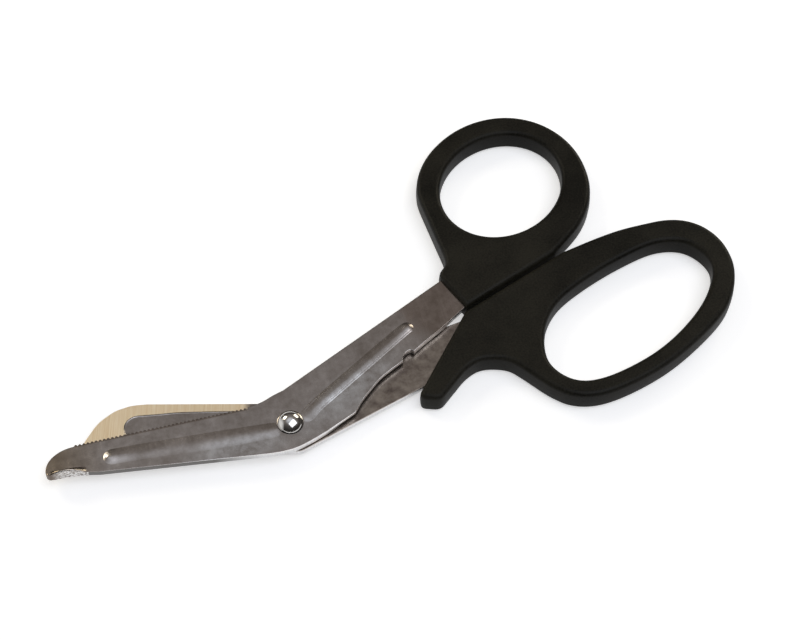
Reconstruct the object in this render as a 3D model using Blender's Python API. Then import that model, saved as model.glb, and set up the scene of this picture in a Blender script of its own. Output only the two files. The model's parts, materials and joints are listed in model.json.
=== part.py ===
"""Trauma shears: two stamped steel blades on a domed rivet, with moulded loop handles.

Sizes are in millimetres and degrees, and go to metres when a mesh is made. The pivot axis is the
working origin: X along the serrated edge (tip at -X), Y towards the thumb loop, Z up, and the blades
meet at Z = 0. Handle outlines are laid out along the shank axis, which leaves the pivot at SHANK_ANGLE.
"""
import math

import bmesh
import bpy
import numpy
from mathutils import Vector

MM = 0.001

# Sheet steel and the stack on the pivot
SHEET = 1.6
BLADE_GAP = 0.3
SEAT_GAP = 0.3
RIVET_BODY = 4.0
RIVET_FIT = 0.3
RIVET_HEAD = 6.6
RIVET_DOME = 2.1
WASHER_OUTER = 8.4
WASHER_THICK = 0.4
TAIL_OUTER = 6.0
TAIL_HEIGHT = 0.4

# Front blade: serrated edge, rounded nose with a turned-up foot
FRONT_REACH = 60.8
EDGE_FAR = 53.0
EDGE_NEAR = 9.6
EDGE_HEIGHT = 6.9
TOOTH_PITCH = 1.0
TOOTH_DEPTH = 0.4
NOSE_HEIGHT = 0.6
CHIN = 1.2
FOOT_DROP = 0.75
FOOT_LENGTH = 8.4
LIP_RISE = 1.9
LIP_THICK = 1.0
SPINE_NEAR = 7.4
SPINE_FAR = 2.2

# Rear blade: smooth edge hidden behind the front blade
REAR_REACH = 51.2
REAR_WIDTH = 11.6
REAR_SLOPE = 14.2
REAR_SPINE = 8.5

# Pressed ribs: half width and height; a hollow of the same shape is pressed in from the other face
RIB_HALF = 2.1
RIB_HEIGHT = 0.9
RIB_INSET = 0.5
SHANK_RIB_HALF = 1.8
SHANK_RIB_SLOPE = 32.4
SHANK_RIB_LENGTH = 36.0

# Shanks and tangs
SHANK_ANGLE = 22.0
SHANK_HALF_PIVOT = 8.6
SHANK_HALF_HANDLE = 12.5
TANG_LENGTH = 21.0
TANG_WIDTH = 6.4
TANG_COVER = 2.0
TANG_FIT = 0.3
TANG_HOLE = 3.6

# Moulded handles
HANDLE_FRONT = 56.0
HANDLE_THICK = 6.4
HANDLE_ROUND = 0.8
HANDLE_DRAFT = 0.15
PARTING_LINE = 0.9
PARTING_GAP = 0.7
THUMB_LENGTH = 36.5
THUMB_WIDTH = 31.1
THUMB_TILT = 21.2
THUMB_RIM = 6.3
THUMB_SETBACK = 14.02
THUMB_HEEL = 3.45
FINGER_LENGTH = 53.3
FINGER_WIDTH = 28.6
FINGER_RIM = 4.6
FINGER_SETBACK = 6.4
FINGER_WALL = 10.2
HOOK_REACH = 26.0
HOOK_DEPTH = 17.2

# Facets
HOLE_FACETS = 48
ROUND_FACETS = 40

# Worked out from the sizes above
FRONT_INNER = BLADE_GAP / 2
FRONT_OUTER = FRONT_INNER + SHEET
REAR_INNER = -BLADE_GAP / 2
REAR_OUTER = REAR_INNER - SHEET
BORE = RIVET_BODY / 2 + RIVET_FIT
EDGE_ROOT = EDGE_HEIGHT - TOOTH_DEPTH
TANG_END = HANDLE_FRONT + TANG_LENGTH
THUMB_BASE = PARTING_LINE + PARTING_GAP / 2
FINGER_BASE = PARTING_LINE - PARTING_GAP / 2
THUMB_RADII = (THUMB_LENGTH / 2, THUMB_WIDTH / 2)
THUMB_CENTRE = (HANDLE_FRONT + THUMB_SETBACK + THUMB_LENGTH / 2,
                THUMB_BASE + THUMB_HEEL + THUMB_RIM + (THUMB_LENGTH + THUMB_WIDTH) / 4)
FINGER_CENTRE = (HANDLE_FRONT + FINGER_SETBACK + FINGER_LENGTH / 2,
                 FINGER_BASE - FINGER_WALL - FINGER_WIDTH / 2)
FRONT_TANG = (THUMB_BASE + TANG_COVER, THUMB_BASE + TANG_COVER + TANG_WIDTH)
REAR_TANG = (FINGER_BASE - TANG_COVER, FINGER_BASE - TANG_COVER - TANG_WIDTH)

# The finger hole's shape, as shares of its half length and half width
FINGER_SHAPE = ((-0.986, -0.033), (-0.924, -0.566), (-0.673, -0.858), (-0.187, -0.979), (0.269, -0.889),
                (0.706, -0.608), (1.006, -0.144), (0.993, 0.459), (0.754, 0.818), (0.335, 0.945),
                (-0.158, 0.953), (-0.525, 0.840), (-0.807, 0.502))
# How much wider than the plain rim each handle is, by direction from its hole's middle
THUMB_SWELL = ((-82, 3.1), (-62, 2.85), (-46, 2.2), (-28, 1.5), (-8, 0.35), (12, 0.0), (30, 0.2),
               (48, 0.4), (72, 0.45), (100, 0.5), (127, 0.6), (151, 0.35), (164, -0.35))
FINGER_SWELL = ((196, 0.75), (215, 0.55), (235, 0.5), (255, 0.5), (280, 0.55), (303, 0.95), (320, 1.45),
                (335, 1.95), (348, 1.8), (360, 2.1), (371, 2.95), (382, 2.95), (401, 2.6))


def on_shank(s, n):
    a = math.radians(SHANK_ANGLE)
    return (s * math.cos(a) - n * math.sin(a), s * math.sin(a) + n * math.cos(a))


def all_on_shank(points):
    return [on_shank(s, n) for s, n in points]


def shank_half(s):
    share = s / HANDLE_FRONT
    return SHANK_HALF_PIVOT + (SHANK_HALF_HANDLE - SHANK_HALF_PIVOT) * share


def smooth(points, steps, closed=False):
    """A curve through the points, with steps pieces to each span."""
    pts = [Vector(p) for p in points]
    count = len(pts)
    out = []
    for i in range(count if closed else count - 1):
        p1 = pts[i]
        p2 = pts[(i + 1) % count]
        p0 = pts[i - 1] if closed or i > 0 else p1 * 2 - p2
        p3 = pts[(i + 2) % count] if closed or i + 2 < count else p2 * 2 - p1
        for k in range(steps):
            t = k / steps
            v = p1 * 2 + (p2 - p0) * t
            v += (p0 * 2 - p1 * 5 + p2 * 4 - p3) * t * t
            v += (p1 * 3 - p0 - p2 * 3 + p3) * t * t * t
            out.append((v.x / 2, v.y / 2))
    if not closed:
        out.append(tuple(pts[-1]))
    return out


def ellipse(centre, radii, tilt, start, end, steps):
    a = math.radians(tilt)
    out = []
    for k in range(steps):
        t = math.radians(start + (end - start) * k / steps)
        u = radii[0] * math.cos(t)
        v = radii[1] * math.sin(t)
        out.append((centre[0] + u * math.cos(a) - v * math.sin(a),
                    centre[1] + u * math.sin(a) + v * math.cos(a)))
    return out


def circle(centre, radius, steps):
    return ellipse(centre, (radius, radius), 0.0, 0.0, 360.0, steps)


def join(*runs):
    """One closed outline from runs that meet at their ends."""
    out = []
    for run in runs:
        for p in run:
            if not out or math.dist(p, out[-1]) > 1e-4:
                out.append(p)
    if math.dist(out[0], out[-1]) < 1e-4:
        out.pop()
    return out


def inset(loop, amount):
    """The loop moved to its left by amount, with mitred corners."""
    out = []
    for i, p in enumerate(loop):
        before = (Vector(p) - Vector(loop[i - 1])).normalized()
        after = (Vector(loop[(i + 1) % len(loop)]) - Vector(p)).normalized()
        n1 = Vector((-before.y, before.x))
        n2 = Vector((-after.y, after.x))
        move = (n1 + n2) / max(1 + n1.dot(n2), 0.25)
        out.append((p[0] + move.x * amount, p[1] + move.y * amount))
    return out


def rim_run(hole, centre, rim, swell):
    """The outer edge that follows a hole, rim plus swell away from it, between the swell's directions."""
    angles = [a for a, extra in swell]
    extras = [extra for a, extra in swell]
    picked = []
    for i, p in enumerate(hole):
        a = math.degrees(math.atan2(p[1] - centre[1], p[0] - centre[0]))
        while a < angles[0]:
            a += 360
        if a <= angles[-1]:
            before = Vector(hole[i - 1])
            after = Vector(hole[(i + 1) % len(hole)])
            along = (after - before).normalized()
            width = rim + float(numpy.interp(a, angles, extras))
            picked.append((a, (p[0] + along.y * width, p[1] - along.x * width)))
    picked.sort()
    return [p for a, p in picked]


def material(name, colour, metallic, roughness):
    mat = bpy.data.materials.new(name)
    mat.use_nodes = True
    shader = mat.node_tree.nodes["Principled BSDF"]
    shader.inputs["Base Color"].default_value = (*colour, 1.0)
    shader.inputs["Metallic"].default_value = metallic
    shader.inputs["Roughness"].default_value = roughness
    mat.diffuse_color = (*colour, 1.0)
    return mat


def make_object(name, bm, mat=None):
    bmesh.ops.recalc_face_normals(bm, faces=bm.faces)
    mesh = bpy.data.meshes.new(name)
    bm.to_mesh(mesh)
    bm.free()
    obj = bpy.data.objects.new(name, mesh)
    bpy.context.scene.collection.objects.link(obj)
    if mat:
        mesh.materials.append(mat)
    return obj


def plate(name, outer, holes, levels, mat=None):
    """A closed body from outlines: levels are (height, inset) from the bottom face to the top one."""
    bm = bmesh.new()
    bottom = []
    top = []
    for loop, side in [(outer, 1)] + [(h, -1) for h in holes]:
        rings = []
        for z, step in levels:
            moved = inset(loop, step * side) if step else loop
            rings.append([bm.verts.new((x * MM, y * MM, z * MM)) for x, y in moved])
        count = len(loop)
        for low, high in zip(rings, rings[1:]):
            for i in range(count):
                j = (i + 1) % count
                bm.faces.new((low[i], low[j], high[j], high[i]))
        for ring, edges in ((rings[0], bottom), (rings[-1], top)):
            edges += [bm.edges.get((ring[i], ring[(i + 1) % count])) for i in range(count)]
    bmesh.ops.triangle_fill(bm, use_beauty=True, edges=bottom, normal=(0, 0, -1))
    bmesh.ops.triangle_fill(bm, use_beauty=True, edges=top, normal=(0, 0, 1))
    return make_object(name, bm, mat)


def revolve(name, profile, mat):
    """A closed round body on the pivot axis from (radius, height) points."""
    bm = bmesh.new()
    rings = []
    for r, z in profile:
        if r == 0:
            rings.append([bm.verts.new((0, 0, z * MM))])
        else:
            round_line = circle((0, 0), r, ROUND_FACETS)
            rings.append([bm.verts.new((x * MM, y * MM, z * MM)) for x, y in round_line])
    if len(rings[0]) > 1:
        rings.append(rings[0])
    for low, high in zip(rings, rings[1:]):
        for i in range(ROUND_FACETS):
            j = (i + 1) % ROUND_FACETS
            corners = [low[i % len(low)], low[j % len(low)], high[j % len(high)], high[i % len(high)]]
            bm.faces.new(list(dict.fromkeys(corners)))
    obj = make_object(name, bm, mat)
    for face in obj.data.polygons:
        face.use_smooth = True
    return obj


def combine(target, tool, operation):
    mod = target.modifiers.new(operation.lower(), "BOOLEAN")
    mod.operation = operation
    mod.solver = "EXACT"
    mod.object = tool
    tool.hide_render = True
    tool.display_type = "WIRE"


def rib_outline(start, end, half):
    """A straight slot shape with round ends between two middles."""
    angle = math.degrees(math.atan2(end[1] - start[1], end[0] - start[0]))
    far = ellipse(end, (half, half), angle, -90, 90, 8)
    near = ellipse(start, (half, half), angle, 90, 270, 8)
    return join(far, [far_end(end, half, angle, 90)], near, [far_end(start, half, angle, 270)])


def far_end(centre, half, angle, turn):
    a = math.radians(angle + turn)
    return (centre[0] + half * math.cos(a), centre[1] + half * math.sin(a))


def press_rib(blade, name, start, end, half, outer, inner):
    """A rib raised on the outer face, with the hollow it leaves in the inner face."""
    side = 1 if outer > inner else -1
    crown = []
    hollow = []
    for k in range(5):
        t = math.radians(88 * k / 4)
        rise = RIB_HEIGHT * math.sin(t)
        step = (half - 0.35) * (1 - math.cos(t))
        crown.append((outer + side * rise, step))
        hollow.append((inner + side * rise, RIB_INSET + step * (half - RIB_INSET - 0.2) / half))
    crown.insert(0, (outer - side * SHEET * 0.25, 0))
    hollow.insert(0, (inner - side * SHEET * 0.25, RIB_INSET))
    outline = rib_outline(start, end, half)
    levels = crown if side > 0 else crown[::-1]
    combine(blade, plate(name + "_crown", outline, [], levels), "UNION")
    levels = hollow if side > 0 else hollow[::-1]
    combine(blade, plate(name + "_hollow", outline, [], levels), "DIFFERENCE")


def serrated_edge():
    """Tooth tips and roots along the cutting edge, from the pivot side to the nose."""
    count = max(3, round((EDGE_FAR - EDGE_NEAR) / TOOTH_PITCH))
    pitch = (EDGE_FAR - EDGE_NEAR) / count
    out = []
    for k in range(count):
        x = -EDGE_NEAR - pitch * k
        out.append((x, EDGE_ROOT))
        out.append((x - pitch / 2, EDGE_HEIGHT))
    out.append((-EDGE_FAR, EDGE_ROOT))
    return out


def foot_run():
    """The underside of the nose, from the chin to where the spine starts."""
    heel = -FRONT_REACH + CHIN
    end = heel + FOOT_LENGTH
    return smooth([(heel, -FOOT_DROP), (heel + FOOT_LENGTH * 0.6, -FOOT_DROP - 0.25),
                   (end, -FOOT_DROP - 0.75), (end + 3.2, -SPINE_FAR)], 4)


def chin_run():
    return ellipse((-FRONT_REACH + CHIN, NOSE_HEIGHT), (CHIN, NOSE_HEIGHT + FOOT_DROP), 0, 180, 270, 5)


def front_outline():
    nose_radii = (FRONT_REACH - EDGE_FAR, EDGE_ROOT - NOSE_HEIGHT)
    nose = ellipse((-EDGE_FAR, NOSE_HEIGHT), nose_radii, 0, 90, 180, 9)
    heel = smooth([(-8, -SPINE_NEAR), (-4, -SPINE_NEAR - 0.35), (0, -SPINE_NEAR - 0.1),
                   (4.2, -SPINE_NEAR + 1.1), (8.2, -SPINE_NEAR + 2.6)], 4)
    step = smooth(all_on_shank([(14.7, -7.15), (18.2, -5.3), (21.9, -3.9), (25.4, -2.75), (28.6, -2.25),
                                (33.2, -1.85)]), 3)
    bite = smooth(all_on_shank([(33.35, -1.85), (34.0, -1.0), (34.8, -0.35), (35.9, -0.1), (36.9, -0.3),
                                (37.35, -1.15)]), 2)
    lower = all_on_shank([(41.5, -0.4), (46.8, 0.3)])
    root = on_shank(HANDLE_FRONT, FRONT_TANG[0] - 1.2)
    tang = all_on_shank([(HANDLE_FRONT + 3, FRONT_TANG[0]), (TANG_END, FRONT_TANG[0]),
                         (TANG_END, FRONT_TANG[1]), (HANDLE_FRONT + 5, shank_half(HANDLE_FRONT) - 1.2),
                         (HANDLE_FRONT, shank_half(HANDLE_FRONT))])
    brow = smooth([on_shank(4, shank_half(4)), (-2.6, 8.8), (-5.6, EDGE_HEIGHT + 0.75),
                   (-EDGE_NEAR + 0.2, EDGE_HEIGHT)], 4)
    return join(nose, chin_run(), foot_run(), heel, step, bite, lower, [root], tang, brow, serrated_edge())


def rear_frame(along, across):
    """A place on the rear blade, along its spine from the pivot and across from the spine's line."""
    a = math.radians(REAR_SLOPE)
    x = -along * math.cos(a) - across * math.sin(a)
    y = REAR_SPINE - 1.6 + along * math.sin(a) - across * math.cos(a)
    return (x, y)


def rear_outline():
    """The rear blade's outline, seen from above with the blade closed."""
    low = REAR_SPINE - 1.6 + REAR_REACH * math.sin(math.radians(REAR_SLOPE))
    tip = smooth([rear_frame(34.6, 0), (-REAR_REACH + 14.1, low - 3.63), (-REAR_REACH + 11.8, low - 3.8),
                  (-REAR_REACH + 9.4, low - 4.3), (-REAR_REACH + 6.2, low - 5.9),
                  (-REAR_REACH + 4.4, low - 7.25), (-REAR_REACH + 2.6, low - 9.2),
                  (-REAR_REACH + 0.9, low - 11.2), (-REAR_REACH, low - 12.9),
                  (-REAR_REACH + 1.1, low - 14.7)], 2)
    edge_end = rear_frame(10, REAR_WIDTH)
    heel = [edge_end, (-3.7, -SPINE_NEAR + 0.8), (0.4, -SPINE_NEAR - 0.1)]
    half = -shank_half(0) + 1.1
    outer = all_on_shank([(-1.4, half), (33.5, half - 2.7), (46, half - 3.7),
                          (HANDLE_FRONT + 3, REAR_TANG[1])])
    tang = all_on_shank([(TANG_END, REAR_TANG[1]), (TANG_END, REAR_TANG[0]),
                         (HANDLE_FRONT + 1, REAR_TANG[0]), (HANDLE_FRONT - 2.2, FINGER_BASE - 0.5)])
    inner = smooth(all_on_shank([(HANDLE_FRONT - 8, 1.3), (38, 1.9), (24, 3.4), (14, 5.2), (6, 6.4)]), 3)
    return join(tip, heel, outer, tang, inner, [rear_frame(6.5, 0)])


def thumb_outline():
    hole = ellipse(THUMB_CENTRE, THUMB_RADII, THUMB_TILT, 0, 360, HOLE_FACETS)
    ring = rim_run(hole, THUMB_CENTRE, THUMB_RIM, THUMB_SWELL)
    base = [(HANDLE_FRONT, THUMB_BASE), (HANDLE_FRONT + 15, THUMB_BASE)]
    heel = smooth([(THUMB_CENTRE[0] - 3, THUMB_BASE), (ring[0][0] - 0.4, ring[0][1] - 0.1), ring[1]], 3)
    top = SHANK_HALF_HANDLE
    neck = smooth([ring[-1], (HANDLE_FRONT + 7.1, top + 11.6), (HANDLE_FRONT + 4.9, top + 4.8),
                   (HANDLE_FRONT + 3.4, top + 2.8), (HANDLE_FRONT + 1.2, top + 2.0),
                   (HANDLE_FRONT + 0.1, top + 0.6), (HANDLE_FRONT, top - 1.2)], 4)
    return all_on_shank(join(base, heel, ring[1:], neck)), all_on_shank(hole)


def finger_outline():
    hole = smooth([(FINGER_CENTRE[0] + u * FINGER_LENGTH / 2, FINGER_CENTRE[1] + v * FINGER_WIDTH / 2)
                   for u, v in FINGER_SHAPE], 4, closed=True)
    ring = rim_run(hole, FINGER_CENTRE, FINGER_RIM, FINGER_SWELL)[:-2]
    front = HANDLE_FRONT - 1.1
    tip = HANDLE_FRONT - HOOK_REACH
    low = -HOOK_DEPTH
    nose = ellipse((tip + 1.2, low + 3.5), (1.3, 1.3), 0, 119, 225, 4)
    hook = smooth([nose[-1], (tip + 1.5, low + 1.8), (tip + 2.9, low + 0.7), (tip + 4.3, low + 0.3),
                   (tip + 5.9, low + 0.85), (tip + 9.8, low + 2.2), (tip + 14.4, low + 3.7),
                   (tip + 19.4, low + 3.2), (tip + 24.0, low - 0.6), (tip + 25.6, low - 4.4),
                   (ring[0][0] - 1.6, ring[0][1] + 4.6), ring[0]], 4)
    shoulder = smooth([ring[-1], (FINGER_CENTRE[0] + 15.8, FINGER_BASE - 3.35),
                       (FINGER_CENTRE[0] + 7.9, FINGER_BASE - 1.8), (FINGER_CENTRE[0] - 2, FINGER_BASE)], 3)
    base = [(HANDLE_FRONT + 12, FINGER_BASE), (front, FINGER_BASE)]
    outer = join([(front, FINGER_BASE)], nose, hook, ring, shoulder, base)
    return all_on_shank(outer), all_on_shank(hole)


def moulded_levels():
    """Heights and insets of a moulding that is widest at its middle and round along both faces."""
    half = HANDLE_THICK / 2
    upper = [(0.0, 0.0)]
    for k in range(4):
        t = math.radians(90 * k / 3)
        upper.append((half - HANDLE_ROUND + HANDLE_ROUND * math.sin(t),
                      HANDLE_DRAFT + HANDLE_ROUND * (1 - math.cos(t))))
    return [(-z, step) for z, step in upper[:0:-1]] + upper


def tang_slot(handle, name, blade, inner, outer, pin):
    """The hollow the handle is moulded round the tang with, and its pin through the tang's hole."""
    low = min(inner, outer) - TANG_FIT
    high = max(inner, outer) + TANG_FIT
    slot = plate(name, inset(blade, -TANG_FIT), [circle(pin, TANG_HOLE / 2 - TANG_FIT, 16)],
                 [(low, 0), (high, 0)])
    combine(handle, slot, "DIFFERENCE")


for old in list(bpy.data.objects):
    bpy.data.objects.remove(old, do_unlink=True)

blade_steel = material("stamped_steel", (0.30, 0.28, 0.26), 1.0, 0.34)
ground_steel = material("ground_steel", (0.42, 0.37, 0.29), 1.0, 0.40)
rivet_steel = material("polished_steel", (0.62, 0.62, 0.62), 1.0, 0.08)
washer_steel = material("plain_washer_steel", (0.45, 0.44, 0.42), 1.0, 0.35)
thumb_plastic = material("black_plastic_thumb", (0.012, 0.012, 0.011), 0.0, 0.55)
finger_plastic = material("black_plastic_finger", (0.012, 0.012, 0.011), 0.0, 0.55)

# Front blade
front_edge = front_outline()
front_pin = on_shank(TANG_END - 5, sum(FRONT_TANG) / 2)
front_holes = [circle((0, 0), BORE, ROUND_FACETS), circle(front_pin, TANG_HOLE / 2, 16)]
front_levels = [(FRONT_INNER, 0), (FRONT_OUTER, 0)]
front_blade = plate("front_blade", front_edge, front_holes, front_levels, blade_steel)
press_rib(front_blade, "blade_rib", (-EDGE_FAR + 9, 0.5), (-BORE - 6.5, -0.7), RIB_HALF,
          FRONT_OUTER, FRONT_INNER)
rib_angle = math.radians(SHANK_RIB_SLOPE)
rib_start = (7.6, 3.2)
rib_end = (rib_start[0] + (SHANK_RIB_LENGTH - 2 * SHANK_RIB_HALF) * math.cos(rib_angle),
           rib_start[1] + (SHANK_RIB_LENGTH - 2 * SHANK_RIB_HALF) * math.sin(rib_angle))
press_rib(front_blade, "shank_rib", rib_start, rib_end, SHANK_RIB_HALF, FRONT_OUTER, FRONT_INNER)

# The foot's turned-up lip, a wall along the nose's underside with a rounded rim
lip = bmesh.new()
lip_line = chin_run()[2:] + [p for p in foot_run() if p[0] < -FRONT_REACH + CHIN + FOOT_LENGTH + 0.3]
stations = []
for k, p in enumerate(lip_line):
    before = Vector(lip_line[max(k - 1, 0)])
    after = Vector(lip_line[min(k + 1, len(lip_line) - 1)])
    along = (after - before).normalized()
    left = Vector((-along.y, along.x))
    share = (p[0] - lip_line[0][0]) / (lip_line[-1][0] - lip_line[0][0])
    rise = 0.1 + LIP_RISE * math.sin(math.pi * min(1, share * 0.75 + 0.25)) ** 0.8
    outer = Vector(p) + left * 0.02
    inner = Vector(p) + left * LIP_THICK
    low = FRONT_OUTER - SHEET * 0.3
    stations.append([lip.verts.new((v.x * MM, v.y * MM, z * MM))
                     for v, z in ((outer, low), (inner, low), (inner, FRONT_OUTER + rise * 0.9),
                                  (outer, FRONT_OUTER + rise))])
for one, two in zip(stations, stations[1:]):
    for i in range(4):
        lip.faces.new((one[i], one[(i + 1) % 4], two[(i + 1) % 4], two[i]))
lip.faces.new(stations[0])
lip.faces.new(stations[-1])
combine(front_blade, make_object("foot_lip", lip), "UNION")

# Rear blade
rear_edge = rear_outline()
rear_pin = on_shank(TANG_END - 5, sum(REAR_TANG) / 2)
rear_holes = [circle((0, 0), BORE, ROUND_FACETS), circle(rear_pin, TANG_HOLE / 2, 16)]
rear_blade = plate("rear_blade", rear_edge, rear_holes, [(REAR_OUTER, 0), (REAR_INNER, 0)], ground_steel)
press_rib(rear_blade, "rear_rib", rear_frame(38.3, 5.4), rear_frame(BORE + 5, 3.6), RIB_HALF + RIB_INSET,
          REAR_OUTER, REAR_INNER)

# Handles
thumb_edge, thumb_hole = thumb_outline()
thumb_handle = plate("thumb_handle", thumb_edge, [thumb_hole], moulded_levels(), thumb_plastic)
tang_slot(thumb_handle, "front_slot", front_edge, FRONT_INNER, FRONT_OUTER, front_pin)
finger_edge, finger_hole = finger_outline()
finger_handle = plate("finger_handle", finger_edge, [finger_hole], moulded_levels(), finger_plastic)
tang_slot(finger_handle, "rear_slot", rear_edge, REAR_INNER, REAR_OUTER, rear_pin)

# Rivet and washer
head_low = FRONT_OUTER + SEAT_GAP
washer_top = REAR_OUTER - SEAT_GAP
tail_top = washer_top - WASHER_THICK - SEAT_GAP
tail_low = tail_top - TAIL_HEIGHT
dome = []
for k in range(7):
    t = math.radians(90 * k / 6)
    dome.append((RIVET_HEAD / 2 * math.cos(t) if k < 6 else 0, head_low + RIVET_DOME * math.sin(t)))
profile = [(0, tail_low), (TAIL_OUTER / 2 * 0.7, tail_low + TAIL_HEIGHT * 0.1),
           (TAIL_OUTER / 2, tail_low + TAIL_HEIGHT * 0.6), (TAIL_OUTER / 2, tail_top),
           (RIVET_BODY / 2, tail_top), (RIVET_BODY / 2, head_low)]
pivot_rivet = revolve("pivot_rivet", profile + dome, rivet_steel)
washer_low = washer_top - WASHER_THICK
tail_washer = revolve("tail_washer", [(BORE, washer_low), (WASHER_OUTER / 2, washer_low),
                                      (WASHER_OUTER / 2, washer_top), (BORE, washer_top)], washer_steel)

# Every piece hangs on the pivot axis, which stands so that the whole sits centred on the ground
pivot = bpy.data.objects.new("pivot_axis", None)
bpy.context.scene.collection.objects.link(pivot)
pieces = [front_blade, rear_blade, thumb_handle, finger_handle, pivot_rivet, tail_washer]
for obj in list(bpy.data.objects):
    if obj != pivot:
        obj.parent = pivot
bpy.context.view_layer.update()
graph = bpy.context.evaluated_depsgraph_get()
corners = [piece.evaluated_get(graph).matrix_world @ Vector(c)
           for piece in pieces for c in piece.evaluated_get(graph).bound_box]
low = [min(c[i] for c in corners) for i in range(3)]
high = [max(c[i] for c in corners) for i in range(3)]
pivot.location = (-(low[0] + high[0]) / 2, -(low[1] + high[1]) / 2, -low[2])
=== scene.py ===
"""Trauma shears, closed, on a white studio floor.

Lengths are in millimetres from the pivot, as the shears lie: X along the serrated edge with the tip at -X,
Y towards the thumb loop, Z up from the plane where the blades meet. Handle outlines are drawn along the
shank (s along it from the pivot, n across it) and turned into place.
"""

import json
import math

import bmesh
import bpy
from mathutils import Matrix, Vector

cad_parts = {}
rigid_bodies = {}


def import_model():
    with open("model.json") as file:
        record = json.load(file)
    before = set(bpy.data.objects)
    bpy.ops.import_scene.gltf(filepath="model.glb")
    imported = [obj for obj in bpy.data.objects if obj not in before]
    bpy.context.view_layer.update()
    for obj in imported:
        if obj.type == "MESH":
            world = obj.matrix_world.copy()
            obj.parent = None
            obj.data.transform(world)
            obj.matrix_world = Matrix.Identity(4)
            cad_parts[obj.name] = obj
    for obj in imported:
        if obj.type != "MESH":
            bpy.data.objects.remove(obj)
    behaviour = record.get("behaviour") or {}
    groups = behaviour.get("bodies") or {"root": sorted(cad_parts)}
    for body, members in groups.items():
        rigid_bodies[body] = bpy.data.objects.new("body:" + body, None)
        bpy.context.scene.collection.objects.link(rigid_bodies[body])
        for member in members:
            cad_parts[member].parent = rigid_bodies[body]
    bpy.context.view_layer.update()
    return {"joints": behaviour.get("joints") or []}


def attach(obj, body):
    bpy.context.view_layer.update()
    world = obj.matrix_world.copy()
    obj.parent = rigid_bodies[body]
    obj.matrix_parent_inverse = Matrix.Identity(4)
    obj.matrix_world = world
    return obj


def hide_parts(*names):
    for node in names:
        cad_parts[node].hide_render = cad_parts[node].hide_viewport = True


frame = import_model()
pivot = Vector(frame["joints"][0]["pos_m"])

MM = 0.001
# Corners nearer than this, in metres, are one
MERGE = 0.000005

# Where the handles start along the shank
HANDLE_FRONT = 56.0

# Sheet steel
SHEET = 1.6
FRONT_TOP = 1.75
REAR_TOP = -0.15
RIM = 0.1

# Front blade
FRONT_REACH = 60.79
EDGE_FAR = 53.0
EDGE_NEAR = 9.6
EDGE_HEIGHT = 6.9
TOOTH_DEPTH = 0.45
TOOTH_ROUND = 0.1
TEETH = 43
NOSE_HEIGHT = 0.6
CHIN = 1.2
FOOT_DROP = 0.75
FOOT_LENGTH = 8.4
LIP_RISE = 1.8
LIP_END = -50.9
# The lip starts past this many of the chin's points, this share of the way through its rise and fall
LIP_SKIP = 3
LIP_START = 0.1
SPINE_NEAR = 7.4
SPINE_FAR = 2.2
# The heel below the pivot: places along the blade, and how far above the spine
FRONT_HEEL = ((-8, 0), (-4, -0.35), (0, -0.1), (4.2, 1.1), (8.2, 2.6))
# The shank's lower side, its notch and its run to the handle, along and across the shank
FRONT_STEP = ((14.7, -7.15), (18.2, -5.3), (21.9, -3.9), (25.4, -2.75), (28.6, -2.25), (33.2, -1.85))
FRONT_NOTCH = ((33.35, -1.85), (34.0, -1.0), (34.8, -0.35), (35.9, -0.1), (36.9, -0.3), (37.35, -1.15))
FRONT_RUN = ((41.5, -0.4), (46.8, 0.3))
# The lip's section: places in from the foot's edge, and shares of its rise
LIP_EDGE = -0.04
LIP_ROOT = 1.6
LIP_SECTION = ((LIP_EDGE, 0.75), (0.03, 0.88), (0.16, 0.97), (0.34, 1), (0.52, 0.96), (0.72, 0.72),
               (0.92, 0.42), (1.2, 0.17))
# Ribs: middles, the widths below and above them, and the heights, from the tip towards the handle
BLADE_RIB = ((-44.3, 1.25, 2.2, 2.2, 0.42), (-41.8, 1.1, 2.2, 2.25, 0.2), (-37, 0.85, 2.2, 2.3, 0.11),
             (-30, 0.45, 2.4, 2.3, 0.1), (-16.4, -0.35, 2.7, 2.25, 0.12), (-4.7, -0.95, 2.4, 2.0, 0.15))
SHANK_RIB = ((4.7, 1.0, 1.9, 2.0, 0.12), (7.4, 3.0, 1.7, 2.05, 0.21), (10.2, 4.75, 1.6, 2.1, 0.26),
             (14, 7.1, 1.6, 2.1, 0.27), (24.5, 13.65, 1.6, 2.1, 0.26), (33, 18.95, 1.55, 2.0, 0.28),
             (35.1, 20.25, 1.6, 1.8, 0.4))
# How far the rings of a pressed form run in towards its middle, as a share, and how many there are
RIB_REACH = 0.96
RIB_RINGS = 10
# The ribs' hollows start further in, and have their own depths
HOLLOW_START = 0.2
HOLLOW_RINGS = 8
BLADE_HOLLOW = 0.3
SHANK_HOLLOW = 0.4

# Rear blade
REAR_REACH = 51.2
REAR_WIDTH = 11.6
REAR_SLOPE = 14.2
REAR_SPINE = 6.9
# The ground face ends this far below the sheet's top
GROUND_DEPTH = 0.03
# The tip: how far back from the reach, and how far below the spine's line there
REAR_TIP_START = 34.6
REAR_TIP = ((14.1, 3.63), (11.8, 3.8), (9.4, 4.3), (6.2, 5.9), (4.4, 7.25), (2.6, 9.2), (0.9, 11.2),
            (0, 12.9), (1.1, 14.7))
# The shank's inner side under the front blade, along and across the shank
REAR_INNER = ((HANDLE_FRONT - 8, 1.3), (38, 1.9), (24, 3.4), (14, 5.2), (6, 6.4))
# The groove's middles with half widths, along and across the blade
GROOVE = ((36.15, 6.95, 3.6), (31, 6.35, 3.45), (26, 5.75, 3.35), (16, 5.15, 3.0), (8.6, 4.85, 2.7))
GROOVE_DEPTH = 0.2
GROOVE_BACK = 0.7
# How far in the groove's wall runs, as a share of the way to its middle
GROOVE_WALL = 0.07
GROOVE_RINGS = 4
GROOVE_MARGIN = 0.15

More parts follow.
